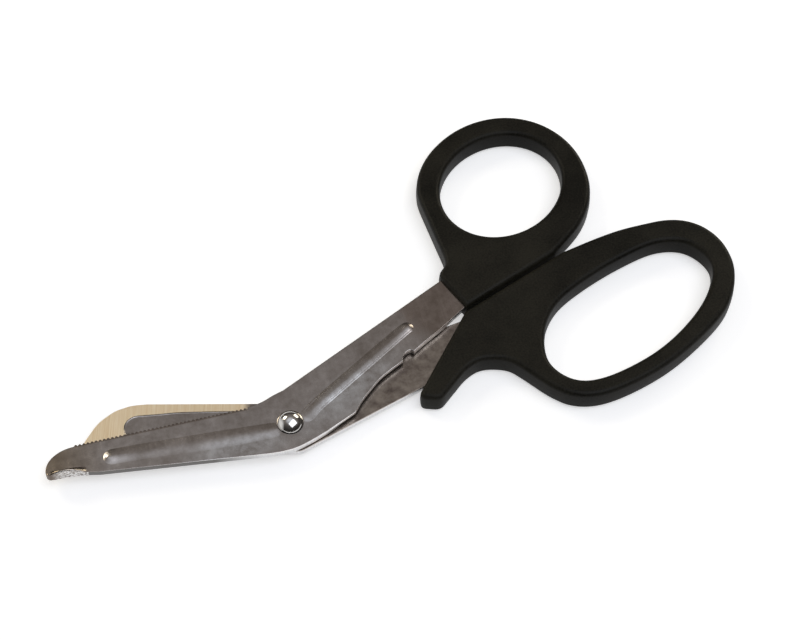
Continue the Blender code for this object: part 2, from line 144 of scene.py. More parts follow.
# Shanks
SHANK_ANGLE = 22.0
SHANK_HALF_PIVOT = 8.6
SHANK_HALF_HANDLE = 12.5
TANG_END = 77.0
# Each tang's lower and upper side, across the shank
FRONT_TANG = (3.25, 9.65)
REAR_TANG = (-7.85, -1.45)
BORE = 2.3

# Edges sharper than this, in degrees, show as edges: on sheets, and on moulded and turned pieces
SHARP_SHEET = 32
SHARP_ROUND = 40
# A crease between two faces, in radians
CREASE = 0.02

# Faces whose normals rise less than this are walls: cut edges, and the foot's outer wall
STEEP = 0.5
STEEP_FOOT = 0.7

# Handles
HANDLE_HALF = 3.2
HANDLE_ROUND = 1.3
HANDLE_DRAFT = 0.12
HANDLE_BAND = 0.06
THUMB_BASE = 1.25
THUMB_CENTRE = (88.27, 27.9)
THUMB_RADII = (18.25, 15.55)
THUMB_TILT = 21.2
THUMB_RIM = 6.2
FINGER_BASE = 0.55
FINGER_CENTRE = (89.05, -23.95)
FINGER_HALF = (26.65, 14.3)
FINGER_RIM = 4.5
HOOK_TIP = 30.0
HOOK_LOW = -17.2
# The hook's nose and underside, from its tip and its low side
HOOK_NOSE = (1.6, 3.45)
HOOK_NOSE_RADIUS = 1.55
HOOK_CURVE = ((1.5, 1.7), (2.9, 0.45), (4.4, -0.02), (6.0, 0.5), (9.9, 1.8), (14.6, 3.2), (19.3, 2.95),
              (24.0, -0.6), (25.6, -4.4))
# The finger loop's shoulder, from its hole's middle and its base, and how many points of the ring it replaces
FINGER_SHOULDER = ((15.8, -3.52), (7.9, -1.65), (-2, 0))
SHOULDER_SKIP = 7
# The thumb loop's heel, by how many points of the ring it replaces, and its neck, from the handles' front and
# the shank's upper side
HEEL_SKIP = 3
THUMB_NECK = ((7.1, 11.6), (4.9, 4.8), (3.4, 2.8), (1.2, 2.0), (0.1, 0.6), (0, -1.2))

# The finger hole's shape, as shares of its half length and half width
FINGER_SHAPE = ((-0.986, -0.033), (-0.924, -0.566), (-0.673, -0.858), (-0.187, -0.979), (0.269, -0.889),
                (0.706, -0.608), (1.006, -0.144), (0.993, 0.459), (0.754, 0.818), (0.335, 0.945),
                (-0.158, 0.953), (-0.525, 0.840), (-0.807, 0.502))
# How much wider than the plain rim each loop is, by direction from its hole's middle
THUMB_SWELL = ((-82, 3.2), (-66, 2.9), (-50, 2.45), (-34, 1.75), (-18, 0.9), (-2, 0.38), (14, 0.14),
               (30, 0.24), (48, 0.43), (72, 0.5), (100, 0.5), (127, 0.6), (151, 0.35), (164, -0.4))
FINGER_SWELL = ((196, 0.76), (210, 0.65), (225, 0.55), (240, 0.54), (255, 0.56), (270, 0.62), (285, 0.72),
                (300, 0.92), (312, 1.18), (324, 1.57), (336, 1.97), (345, 1.83), (352, 1.58), (358, 1.75),
                (364, 2.45), (370, 2.95), (377, 3.2), (387, 2.9), (401, 2.4))

# Rivet and washer
RIVET_HEAD = 3.3
RIVET_SEAT = 2.05
RIVET_DOME = 2.1
RIVET_BODY = 2.0
DOME_STEPS = 16
WASHER_OUTER = 4.2
WASHER_TOP = -2.05
WASHER_LOW = -2.45
WASHER_RIM = 0.08
TAIL_OUTER = 3.0
TAIL_TOP = -2.75
TAIL_LOW = -3.15
# The closed tail: shares of its radius, and heights above its low end
TAIL_CURVE = ((0, 0), (0.7, 0.05), (0.93, 0.15), (1, 0.28))
SPIN_STEPS = 64

# Studio: how far the room is turned with the camera, in degrees
ROOM_TURN = 14.5
CAMERA_PLACE = (-35.4, -245.3, 397.75)
CAMERA_LOOK = (0.1436, 0.5553, -0.8192)
CAMERA_LENS = 84.68


# Outlines

def on_shank(points):
    """Points along and across the shank, turned to where the shank lies."""
    cosine = math.cos(math.radians(SHANK_ANGLE))
    sine = math.sin(math.radians(SHANK_ANGLE))
    return [(s * cosine - n * sine, s * sine + n * cosine) for s, n in points]


def shank_half(s):
    return SHANK_HALF_PIVOT + (SHANK_HALF_HANDLE - SHANK_HALF_PIVOT) * s / HANDLE_FRONT


def smooth(points, steps, closed=False):
    """A curve through the points, with steps pieces to each span."""
    pts = [Vector(p) for p in points]
    count = len(pts)
    out = []
    for i in range(count if closed else count - 1):
        p1 = pts[i]
        p2 = pts[(i + 1) % count]
        p0 = pts[i - 1] if closed or i > 0 else p1 * 2 - p2
        p3 = pts[(i + 2) % count] if closed or i + 2 < count else p2 * 2 - p1
        for k in range(steps):
            t = k / steps
            v = p1 * 2 + (p2 - p0) * t
            v += (p0 * 2 - p1 * 5 + p2 * 4 - p3) * t * t
            v += (p1 * 3 - p0 - p2 * 3 + p3) * t * t * t
            out.append(tuple(v / 2))
    if not closed:
        out.append(tuple(pts[-1]))
    return out


def arc(centre, radii, tilt, start, end, steps):
    """Part of an ellipse, its last point left out."""
    a = math.radians(tilt)
    out = []
    for k in range(steps):
        t = math.radians(start + (end - start) * k / steps)
        u = radii[0] * math.cos(t)
        v = radii[1] * math.sin(t)
        out.append((centre[0] + u * math.cos(a) - v * math.sin(a),
                    centre[1] + u * math.sin(a) + v * math.cos(a)))
    return out


def join(*runs):
    """One closed line from runs that meet at their ends."""
    least = 0.02
    out = []
    for run in runs:
        for p in run:
            if not out or math.dist(p, out[-1]) > least:
                out.append(p)
    if math.dist(out[0], out[-1]) < least:
        out.pop()
    return out


def swell_at(swell, angle):
    """The extra width in a direction, on a smooth curve through the given ones."""
    last = len(swell) - 1
    for i in range(last):
        (a0, e0), (a1, e1) = swell[i], swell[i + 1]
        if a0 <= angle <= a1:
            before = swell[max(i - 1, 0)]
            after = swell[min(i + 2, last)]
            m0 = (e1 - before[1]) / (a1 - before[0]) * (a1 - a0)
            m1 = (after[1] - e0) / (after[0] - a0) * (a1 - a0)
            t = (angle - a0) / (a1 - a0)
            return (e0 + m0 * t + (3 * (e1 - e0) - 2 * m0 - m1) * t * t
                    + (2 * (e0 - e1) + m0 + m1) * t * t * t)
    return 0.0


def rim_run(hole, centre, rim, swell):
    """The outer edge that follows a hole, rim plus swell away from it, between the swell's directions."""
    picked = []
    for i, p in enumerate(hole):
        a = math.degrees(math.atan2(p[1] - centre[1], p[0] - centre[0]))
        while a < swell[0][0]:
            a += 360
        if a <= swell[-1][0]:
            along = (Vector(hole[(i + 1) % len(hole)]) - Vector(hole[i - 1])).normalized()
            width = rim + swell_at(swell, a)
            picked.append((a, (p[0] + along.y * width, p[1] - along.x * width)))
    picked.sort()
    return [p for a, p in picked]


def eased(run, gap):
    """The run in even steps, with its small kinks eased and its two ends kept."""
    out = [Vector(run[0])]
    for p in run[1:]:
        while (Vector(p) - out[-1]).length > gap:
            out.append(out[-1] + (Vector(p) - out[-1]).normalized() * gap)
    out[-1] = Vector(run[-1])
    for again in range(3):
        out[1:-1] = [(a + b * 2 + c) / 4 for a, b, c in zip(out, out[1:], out[2:])]
    return [(p.x, p.y) for p in out]


def rib_lines(middles, blunt, soft_low, soft_high):
    """The points round a rib, each with the place on the rib's back that it rises to, how high, and how
    softly. The blunter the ends, the nearer to them the back runs."""
    end_steps = 12
    path = [Vector(m[:2]) for m in middles]
    last = len(path) - 1
    ahead = [(path[min(i + 1, last)] - path[max(i - 1, 0)]).normalized() for i in range(last + 1)]
    out = []
    for order, turn, side in ((range(last + 1), 1, 2), (range(last, -1, -1), -1, 3)):
        soft, other = (soft_low, soft_high) if turn == 1 else (soft_high, soft_low)
        for i in order:
            out.append((path[i] + Vector((ahead[i].y, -ahead[i].x)) * middles[i][side] * turn, path[i],
                        middles[i][4], soft))
        for k in range(1, end_steps):
            a = math.pi * k / end_steps
            share = (1 - math.cos(a)) / 2
            half = middles[i][side] * (1 - share) + middles[i][5 - side] * share
            across = Vector((ahead[i].y, -ahead[i].x)) * turn * math.cos(a)
            tip = ahead[i] * turn * math.sin(a)
            out.append((path[i] + (across + tip) * half, path[i] + tip * half * blunt, middles[i][4],
                        soft + (other - soft) * share))
    return out


def foot_run():
    """The underside of the nose, from the chin to where the spine starts."""
    heel = -FRONT_REACH + CHIN
    end = heel + FOOT_LENGTH
    return smooth([(heel, -FOOT_DROP), (heel + FOOT_LENGTH * 0.6, -FOOT_DROP - 0.25),
                   (end, -FOOT_DROP - 0.75), (end + 3.2, -SPINE_FAR)], 6)


def chin_run():
    return arc((-FRONT_REACH + CHIN, NOSE_HEIGHT), (CHIN, NOSE_HEIGHT + FOOT_DROP), 0, 180, 270, 10)


def serrated_edge():
    pitch = (EDGE_FAR - EDGE_NEAR) / TEETH
    root = EDGE_HEIGHT - TOOTH_DEPTH
    out = []
    for k in range(TEETH):
        x = -EDGE_NEAR - pitch * k
        out += [(x, root), (x - pitch * 0.3, EDGE_HEIGHT - TOOTH_ROUND), (x - pitch * 0.5, EDGE_HEIGHT),
                (x - pitch * 0.7, EDGE_HEIGHT - TOOTH_ROUND)]
    return out + [(-EDGE_FAR, root)]


def front_outline():
    root = EDGE_HEIGHT - TOOTH_DEPTH
    nose = arc((-EDGE_FAR, NOSE_HEIGHT), (FRONT_REACH - EDGE_FAR, root - NOSE_HEIGHT), 0, 90, 180, 24)
    heel = smooth([(x, up - SPINE_NEAR) for x, up in FRONT_HEEL], 6)
    step = smooth(on_shank(FRONT_STEP), 6)
    notch = smooth(on_shank(FRONT_NOTCH), 6)
    tang_low, tang_high = FRONT_TANG
    tang = on_shank([*FRONT_RUN, (HANDLE_FRONT, 2.05), (HANDLE_FRONT + 3, tang_low), (TANG_END, tang_low),
                     (TANG_END, tang_high), (HANDLE_FRONT + 5, SHANK_HALF_HANDLE - 1.2),
                     (HANDLE_FRONT, SHANK_HALF_HANDLE)])
    brow = smooth(on_shank([(4, shank_half(4))])
                  + [(-2.6, 8.8), (-5.6, EDGE_HEIGHT + 0.75), (-EDGE_NEAR + 0.2, EDGE_HEIGHT)], 6)
    return join(nose, chin_run(), foot_run(), heel, step, notch, tang, brow, serrated_edge())


def rear_frame(along, across):
    """A place on the rear blade, along its spine from the pivot and across from the spine's line."""
    cosine = math.cos(math.radians(REAR_SLOPE))
    sine = math.sin(math.radians(REAR_SLOPE))
    return (-along * cosine - across * sine, REAR_SPINE + along * sine - across * cosine)


def rear_outline():
    spine_end = REAR_SPINE + REAR_REACH * math.sin(math.radians(REAR_SLOPE))
    tip = smooth([rear_frame(REAR_TIP_START, 0)]
                 + [(back - REAR_REACH, spine_end - down) for back, down in REAR_TIP], 5)
    heel = [rear_frame(10, REAR_WIDTH), (-3.7, -SPINE_NEAR + 0.8), (0.4, -SPINE_NEAR - 0.1)]
    half = 1.1 - SHANK_HALF_PIVOT
    tang_low, tang_high = REAR_TANG
    outer = on_shank([(-1.4, half), (33.5, half - 2.7), (46, half - 3.7), (HANDLE_FRONT + 3, tang_low)])
    tang = on_shank([(TANG_END, tang_low), (TANG_END, tang_high), (HANDLE_FRONT + 1, tang_high),
                     (HANDLE_FRONT - 2.2, FINGER_BASE - 0.5)])
    inner = smooth(on_shank(REAR_INNER), 6)
    return join(tip, heel, outer, tang, inner, [rear_frame(6.5, 0)])


def thumb_outline():
    hole = arc(THUMB_CENTRE, THUMB_RADII, THUMB_TILT, 0, 360, 144)
    ring = rim_run(hole, THUMB_CENTRE, THUMB_RIM, THUMB_SWELL)
    base = [(HANDLE_FRONT, THUMB_BASE), (HANDLE_FRONT + 15, THUMB_BASE)]
    heel = smooth([(THUMB_CENTRE[0] - 3, THUMB_BASE), (ring[0][0] - 0.4, ring[0][1] - 0.1),
                   ring[HEEL_SKIP]], 6)
    neck = smooth([ring[-1]] + [(HANDLE_FRONT + s, SHANK_HALF_HANDLE + n) for s, n in THUMB_NECK], 6)
    return on_shank(join(base, eased(join(heel, ring[HEEL_SKIP:], neck), 0.6))), on_shank(hole)


def finger_outline():
    hole = smooth([(FINGER_CENTRE[0] + u * FINGER_HALF[0], FINGER_CENTRE[1] + v * FINGER_HALF[1])
                   for u, v in FINGER_SHAPE], 11, closed=True)
    ring = rim_run(hole, FINGER_CENTRE, FINGER_RIM, FINGER_SWELL)[:-SHOULDER_SKIP]
    front = HANDLE_FRONT - 1.1
    nose = arc((HOOK_TIP + HOOK_NOSE[0], HOOK_LOW + HOOK_NOSE[1]), (HOOK_NOSE_RADIUS, HOOK_NOSE_RADIUS),
               0, 119, 225, 8)
    hook = smooth([nose[-1]] + [(HOOK_TIP + s, HOOK_LOW + n) for s, n in HOOK_CURVE]
                  + [(ring[0][0] - 1.85, ring[0][1] + 4.5), ring[0]], 8)
    shoulder = smooth([ring[-1]] + [(FINGER_CENTRE[0] + s, FINGER_BASE + n) for s, n in FINGER_SHOULDER], 8)
    base = [(HANDLE_FRONT + 12, FINGER_BASE), (front, FINGER_BASE)]
    outer = join([(front, FINGER_BASE)], eased(join(nose, hook, ring, shoulder), 0.5), base)
    return on_shank(outer), on_shank(hole)


# Modelling

def place(x, y, z):
    return pivot + Vector((x, y, z)) * MM


def begin(name):
    """Opens an empty piece for drawing."""
    if bpy.context.mode != "OBJECT":
        bpy.ops.object.mode_set(mode="OBJECT")
    bpy.ops.object.select_all(action="DESELECT")
    bpy.ops.mesh.primitive_plane_add(size=MM, location=(0, 0, 0))
    piece = bpy.context.object
    piece.name = name
    piece.data.name = name
    bpy.ops.object.mode_set(mode="EDIT")
    bpy.ops.mesh.select_mode(type="VERT")
    bpy.ops.mesh.select_all(action="SELECT")
    bpy.ops.mesh.delete(type="VERT")
    return piece


def trace(points, closed=True):
    """Draws a line: a small plane is merged to a point, which is extruded from place to place."""
    bpy.ops.mesh.select_all(action="DESELECT")
    bpy.ops.mesh.primitive_plane_add(size=MM, location=place(*points[0]))
    bpy.ops.mesh.merge(type="CENTER")
    ends = points[1:] + points[:1] if closed else points[1:]
    for a, b in zip(points, ends):
        step = (Vector(b) - Vector(a)) * MM
        bpy.ops.mesh.extrude_vertices_move(TRANSFORM_OT_translate={"value": step})
    bpy.ops.mesh.select_linked()
    bpy.ops.mesh.remove_doubles(threshold=MERGE)


def flat(points, z):
    return [(x, y, z) for x, y in points]


def pick(kind, test):
    """Selects the corners, edges or faces for which the test holds, and nothing else."""
    bpy.ops.mesh.select_mode(type=kind)
    bpy.ops.mesh.select_all(action="DESELECT")
    shape = bmesh.from_edit_mesh(bpy.context.object.data)
    for item in {"VERT": shape.verts, "EDGE": shape.edges, "FACE": shape.faces}[kind]:
        if test(item):
            item.select_set(True)
    shape.select_flush(True)
    bmesh.update_edit_mesh(bpy.context.object.data)


def fill_up():
    """Fills the lines of the open piece and turns the faces up."""
    bpy.ops.mesh.select_all(action="SELECT")
    bpy.ops.mesh.fill(use_beauty=True)
    pick("FACE", lambda f: f.normal.z < 0)
    bpy.ops.mesh.flip_normals()
    bpy.ops.mesh.select_all(action="SELECT")


def step_in(steps):
    """Insets the picked faces again and again: how far in, and how far out along the face."""
    for inward, outward in steps:
        bpy.ops.mesh.inset(thickness=inward * MM, depth=outward * MM)


def spin_round(section, closed):
    """Spins a half section about the pivot and closes its seam."""
    trace(section, closed)
    bpy.ops.mesh.select_all(action="SELECT")
    bpy.ops.mesh.spin(steps=SPIN_STEPS, angle=2 * math.pi, center=pivot, axis=(0, 0, 1))
    bpy.ops.mesh.select_all(action="SELECT")
    bpy.ops.mesh.remove_doubles(threshold=MERGE)


def quarter_round(radius, count):
    """Inset steps over a rounded edge, from the wall to the face."""
    turns = [math.pi / 2 * k / count for k in range(count + 1)]
    return [(radius * (math.cos(a) - math.cos(b)), radius * (math.sin(b) - math.sin(a)))
            for a, b in zip(turns, turns[1:])]


def rings(lines, start, end, depth, count):
    """Rings from a form's edge to its back, between two shares of the way in, each point with its height,
    which is the form's own or one depth all round. A hard flank rises at once, a soft one slowly."""
    hard = 1.6
    out = []
    for k in range(count + 1):
        t = k / count
        share = start + (end - start) * t
        ring = []
        for edge, back, rise, soft in lines:
            height = (depth or rise) * ((1 - soft) * (1 - (1 - t) ** hard) + soft * t * t * (3 - 2 * t))
            ring.append((*(edge + (back - edge) * share), height))
        out.append(ring)
    return out


def sheet(name, outline, low):
    """A sheet cut to an outline and bored for the pivot, its rims rounded over above and below."""
    piece = begin(name)
    trace(flat(outline, low + RIM))
    trace(flat(arc((0, 0), (BORE, BORE), 0, 0, 360, 48), low + RIM))
    fill_up()
    bpy.ops.mesh.extrude_region_move(TRANSFORM_OT_translate={"value": (0, 0, (SHEET - 2 * RIM) * MM)})
    bpy.ops.mesh.select_all(action="SELECT")
    bpy.ops.mesh.normals_make_consistent(inside=False)
    for side in (1, -1):
        pick("FACE", lambda f: f.normal.z * side > 0.99)
        step_in(quarter_round(RIM, 2))
    return piece


def at_level(item, z):
    """Whether an edge or a face lies flat at a height, to 0.002 mm."""
    level = place(0, 0, z).z
    return all(abs(v.co.z - level) < 0.002 * MM for v in item.verts)


def press(z, forms, margin=0):
    """Opens the sheet's flat face at a height, fills it again round the forms, and builds each form up from
    its rings, one bridged to the next and the last one filled, with a flat margin if there is one."""
    pick("FACE", lambda f: abs(f.normal.z) > 0.99 and at_level(f, z))
    bpy.ops.mesh.delete(type="FACE")
    for form in forms:
        bpy.ops.mesh.select_mode(type="VERT")
        trace([(x, y, z) for x, y, rise in form[0]])
    pick("EDGE", lambda e: len(e.link_faces) < 2 and at_level(e, z))
    bpy.ops.mesh.fill(use_beauty=True)
    for form in forms:
        def open_edge(e):
            return len(e.link_faces) < 2 and within(e, form[0])

        for ring in form[1:]:
            bpy.ops.mesh.select_mode(type="VERT")
            trace([(x, y, z + rise) for x, y, rise in ring])
            pick("EDGE", open_edge)
            bpy.ops.mesh.bridge_edge_loops()
        pick("EDGE", open_edge)
        bpy.ops.mesh.edge_face_add()
        if margin:
            step_in([(margin, 0)])


def within(item, line):
    """Whether an edge lies in a form: at its line's points, or inside it."""
    near = 0.05
    for v in item.verts:
        x, y = ((v.co - pivot) / MM).xy
        crossings = 0
        for (x0, y0, z0), (x1, y1, z1) in zip(line, line[1:] + line[:1]):
            if math.dist((x, y), (x0, y0)) < near:
                crossings = 1
                break
            if (y0 > y) != (y1 > y) and x < x0 + (x1 - x0) * (y - y0) / (y1 - y0):
                crossings += 1
        if crossings % 2 == 0:
            return False
    return True


def mark_creases(z):
    """Keeps the edges sharp where a pressed form or a rim leaves the flat face, by a degree or more."""
    pick("EDGE", lambda e: at_level(e, z) and e.calc_face_angle(0) > CREASE)
    bpy.ops.mesh.mark_sharp()


def apply_modifier(piece, kind, **settings):
    if piece.mode == "EDIT":
        bpy.ops.object.mode_set(mode="OBJECT")
    mod = piece.modifiers.new(kind.lower(), kind)
    for key, value in settings.items():
        setattr(mod, key, value)
    bpy.ops.object.modifier_apply(modifier=mod.name)
    bpy.ops.object.mode_set(mode="EDIT")


def end(piece, sharp, body, node, finish, slot):
    """Closes the piece, shades it, and puts it on its body in place of its plain solid."""
    bpy.ops.mesh.select_all(action="SELECT")
    bpy.ops.mesh.normals_make_consistent(inside=False)
    bpy.ops.object.mode_set(mode="OBJECT")
    bpy.ops.object.shade_smooth_by_angle(angle=math.radians(sharp))
    piece.data.materials.clear()
    for one in finish:
        piece.data.materials.append(one)
    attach(piece, body)
    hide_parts(node)


# Materials

def linear(colour):
    """An sRGB hex colour as linear red, green, blue and alpha."""
    parts = [int(colour[i:i + 2], 16) / 255 for i in (1, 3, 5)]
    return [c / 12.92 if c <= 0.04045 else ((c + 0.055) / 1.055) ** 2.4 for c in parts] + [1.0]


def add(tree, kind, inputs=(), **settings):
    """Adds a node with its settings; an input is a value or another node's socket."""
    node = tree.nodes.new(kind)
    for key, value in settings.items():
        setattr(node, key, value)
    for key, value in dict(inputs).items():
        if isinstance(value, bpy.types.NodeSocket):
            tree.links.new(value, node.inputs[key])
        else:
            node.inputs[key].default_value = value
    return node


def new_material(name, **values):
    mat = bpy.data.materials.new(name)
    mat.use_nodes = True
    shader = mat.node_tree.nodes["Principled BSDF"]
    for key, value in values.items():
        shader.inputs[key.replace("_", " ")].default_value = value
    return mat, mat.node_tree, shader


def stamped_sheet():
    """Cold rolled stainless sheet, stamped and tumbled: satin grey, faint grinding lines across the blade,
    cloudy handling marks, cooler, brighter patches below the ribs as a painted reflection, painted shade on
    the teeth, and a browner heat tint beside the handle."""
    mat, tree, shader = new_material("stamped_stainless_sheet", Metallic=1.0)
    where = add(tree, "ShaderNodeTexCoord").outputs["Object"]
    # Grinding lines 0.4 mm apart and about 8 mm long, coarser than the real ones so that they show
    lines_at = add(tree, "ShaderNodeMapping", {"Vector": where, "Scale": (2500, 125, 2500)})
    lines = add(tree, "ShaderNodeTexNoise", {"Vector": lines_at.outputs[0], "Scale": 1.0, "Detail": 2.0})
    # Clouds about 6 mm across and smudges about 1.5 mm across
    clouds = add(tree, "ShaderNodeTexNoise", {"Vector": where, "Scale": 165.0, "Detail": 4.0,
                                              "Roughness": 0.6})
    smudges = add(tree, "ShaderNodeTexNoise", {"Vector": where, "Scale": 660.0, "Detail": 4.0,
                                               "Roughness": 0.7})
    # Tumbling grain about 0.5 mm across, coarser than the real one so that it shows
    specks = add(tree, "ShaderNodeTexNoise", {"Vector": where, "Scale": 1900.0, "Detail": 2.0})
    marks = add(tree, "ShaderNodeMix", {"Factor": 0.3, "A": clouds.outputs["Fac"],
                                        "B": smudges.outputs["Fac"]})
    spread = add(tree, "ShaderNodeMapRange", {"Value": marks.outputs["Result"], "From Min": 0.25,
                                              "From Max": 0.75})
    plain = add(tree, "ShaderNodeMix", {"Factor": spread.outputs[0], "A": linear("#9a928b"),
                                        "B": linear("#c4bebb")}, data_type="RGBA")
    # Cooler, brighter patches below the ribs, a painted reflection of the bright overhead light: on the blade
    # 32 by 9 mm, on the shank 44 by 13 mm
    blade_at = add(tree, "ShaderNodeMapping", {"Vector": where, "Location": place(-14, -4.2, 0),
                                               "Scale": (16 * MM, 4.5 * MM, 16 * MM)}, vector_type="TEXTURE")
    on_blade = add(tree, "ShaderNodeTexGradient", {"Vector": blade_at.outputs[0]}, gradient_type="SPHERICAL")
    shank_at = add(tree, "ShaderNodeMapping", {"Vector": where, "Location": place(16, 4.5, 0),
                                               "Rotation": (0, 0, math.radians(30)),
                                               "Scale": (22 * MM, 6.5 * MM, 22 * MM)}, vector_type="TEXTURE")
    below_rib = add(tree, "ShaderNodeTexGradient", {"Vector": shank_at.outputs[0]}, gradient_type="SPHERICAL")
    patches = add(tree, "ShaderNodeMath", {0: on_blade.outputs["Fac"], 1: below_rib.outputs["Fac"]},
                  operation="MAXIMUM")
    painted_sheen = add(tree, "ShaderNodeMath", {0: patches.outputs[0], 1: spread.outputs[0]}, operation="MULTIPLY")
    cool = add(tree, "ShaderNodeMix", {"Factor": painted_sheen.outputs[0], "A": plain.outputs["Result"],
                                       "B": linear("#f1f5f8")}, data_type="RGBA")
    # The nose a little browner, from 46 mm out
    out_at = add(tree, "ShaderNodeSeparateXYZ", {"Vector": where})
    nose = add(tree, "ShaderNodeMapRange", {"Value": out_at.outputs["X"], "From Min": pivot.x - 46 * MM,
                                            "From Max": pivot.x - 58 * MM})
    browned = add(tree, "ShaderNodeMix", {"Factor": nose.outputs[0], "A": cool.outputs["Result"],
                                          "B": linear("#e7ddcb")}, data_type="RGBA", blend_type="MULTIPLY")
    # The teeth darkened with painted shade on the top of the front blade, above 6 mm and from 8.5 mm out
    above = add(tree, "ShaderNodeMath", {0: out_at.outputs["Z"], 1: pivot.z + 1.5 * MM},
                operation="GREATER_THAN")
    teeth_y = add(tree, "ShaderNodeMapRange", {"Value": out_at.outputs["Y"], "From Min": pivot.y + 6.0 * MM,
                                               "From Max": pivot.y + 6.4 * MM, "To Max": above.outputs[0]})
    teeth_painted_shade = add(tree, "ShaderNodeMapRange", {"Value": out_at.outputs["X"], "From Min": pivot.x - 8.5 * MM,
                                               "From Max": pivot.x - 10 * MM, "To Max": teeth_y.outputs[0]})
    tone = add(tree, "ShaderNodeMix", {"Factor": teeth_painted_shade.outputs[0], "A": browned.outputs["Result"],
                                       "B": linear("#c9c0b8")}, data_type="RGBA", blend_type="MULTIPLY")
    # Heat tint from about 40 mm along the shank, its border moved by up to 12 mm by the clouds
    shank = add(tree, "ShaderNodeMapping", {"Vector": where, "Location": tuple(pivot),
                                            "Rotation": (0, 0, math.radians(SHANK_ANGLE))},
                vector_type="TEXTURE")
    along = add(tree, "ShaderNodeSeparateXYZ", {"Vector": shank.outputs[0]})
    bend = add(tree, "ShaderNodeMath", {0: clouds.outputs["Fac"], 1: 12 * MM, 2: along.outputs["X"]},
               operation="MULTIPLY_ADD")
    tint = add(tree, "ShaderNodeMapRange", {"Value": bend.outputs[0], "From Min": 46.5 * MM,
                                            "From Max": 50.5 * MM}, interpolation_type="SMOOTHSTEP")
    colour = add(tree, "ShaderNodeMix", {"Factor": tint.outputs[0], "A": tone.outputs["Result"],
                                         "B": linear("#dfd7d1")}, data_type="RGBA", blend_type="MULTIPLY")
    tree.links.new(colour.outputs["Result"], shader.inputs["Base Color"])
    mixed = add(tree, "ShaderNodeMath", {0: lines.outputs["Fac"], 1: clouds.outputs["Fac"]}, operation="ADD")
    rough = add(tree, "ShaderNodeMapRange", {"Value": mixed.outputs[0], "From Min": 0.7, "From Max": 1.3,
                                             "To Min": 0.17, "To Max": 0.27})
    tree.links.new(rough.outputs[0], shader.inputs["Roughness"])
    height = add(tree, "ShaderNodeMath", {0: specks.outputs["Fac"], 1: lines.outputs["Fac"]}, operation="ADD")
    bump = add(tree, "ShaderNodeBump", {"Height": height.outputs[0], "Strength": 0.015,
                                        "Distance": 0.05 * MM})
    tree.links.new(bump.outputs[0], shader.inputs["Normal"])
    return mat


def ground_sheet():
    """The rear blade's face, ground flat on a belt: pale straw with fine lines across the blade.
    From 12 mm before the pivot on, the face is left as rolled."""
    mat, tree, shader = new_material("belt_ground_stainless", Metallic=1.0)
    where = add(tree, "ShaderNodeTexCoord").outputs["Object"]
    spine = add(tree, "ShaderNodeMapping", {"Vector": where, "Location": tuple(pivot),
                                            "Rotation": (0, 0, -math.radians(REAR_SLOPE))},
                vector_type="TEXTURE")
    # Grinding lines 0.3 mm apart and about 9 mm long, coarser than the real grit so that they show
    lines_at = add(tree, "ShaderNodeMapping", {"Vector": spine.outputs[0], "Scale": (3300, 110, 3300)})
    lines = add(tree, "ShaderNodeTexNoise", {"Vector": lines_at.outputs[0], "Scale": 1.0, "Detail": 4.0,
                                             "Roughness": 0.65})
    tone = add(tree, "ShaderNodeMix", {"Factor": lines.outputs["Fac"], "A": linear("#d8ba8b"),
                                       "B": linear("#fff6e2")}, data_type="RGBA")
    # Handling marks about 3 mm across on the part left as rolled
    clouds = add(tree, "ShaderNodeTexNoise", {"Vector": where, "Scale": 330.0, "Detail": 5.0,
                                              "Roughness": 0.65})
    spread = add(tree, "ShaderNodeMapRange", {"Value": clouds.outputs["Fac"], "From Min": 0.3,
                                              "From Max": 0.7})
    rolled = add(tree, "ShaderNodeMix", {"Factor": spread.outputs[0], "A": linear("#716660"),
                                         "B": linear("#b3a99e")}, data_type="RGBA")
    along = add(tree, "ShaderNodeSeparateXYZ", {"Vector": spine.outputs[0]})
    past = add(tree, "ShaderNodeMapRange", {"Value": along.outputs["X"], "From Min": -12 * MM,
                                            "From Max": -10 * MM})
    colour = add(tree, "ShaderNodeMix", {"Factor": past.outputs[0], "A": tone.outputs["Result"],
                                         "B": rolled.outputs["Result"]}, data_type="RGBA")
    tree.links.new(colour.outputs["Result"], shader.inputs["Base Color"])
    rough = add(tree, "ShaderNodeMapRange", {"Value": past.outputs[0], "To Min": 0.50, "To Max": 0.30})
    tree.links.new(rough.outputs[0], shader.inputs["Roughness"])
    bump = add(tree, "ShaderNodeBump", {"Height": lines.outputs["Fac"], "Strength": 0.25,
                                        "Distance": 0.06 * MM})
    tree.links.new(bump.outputs[0], shader.inputs["Normal"])
    return mat


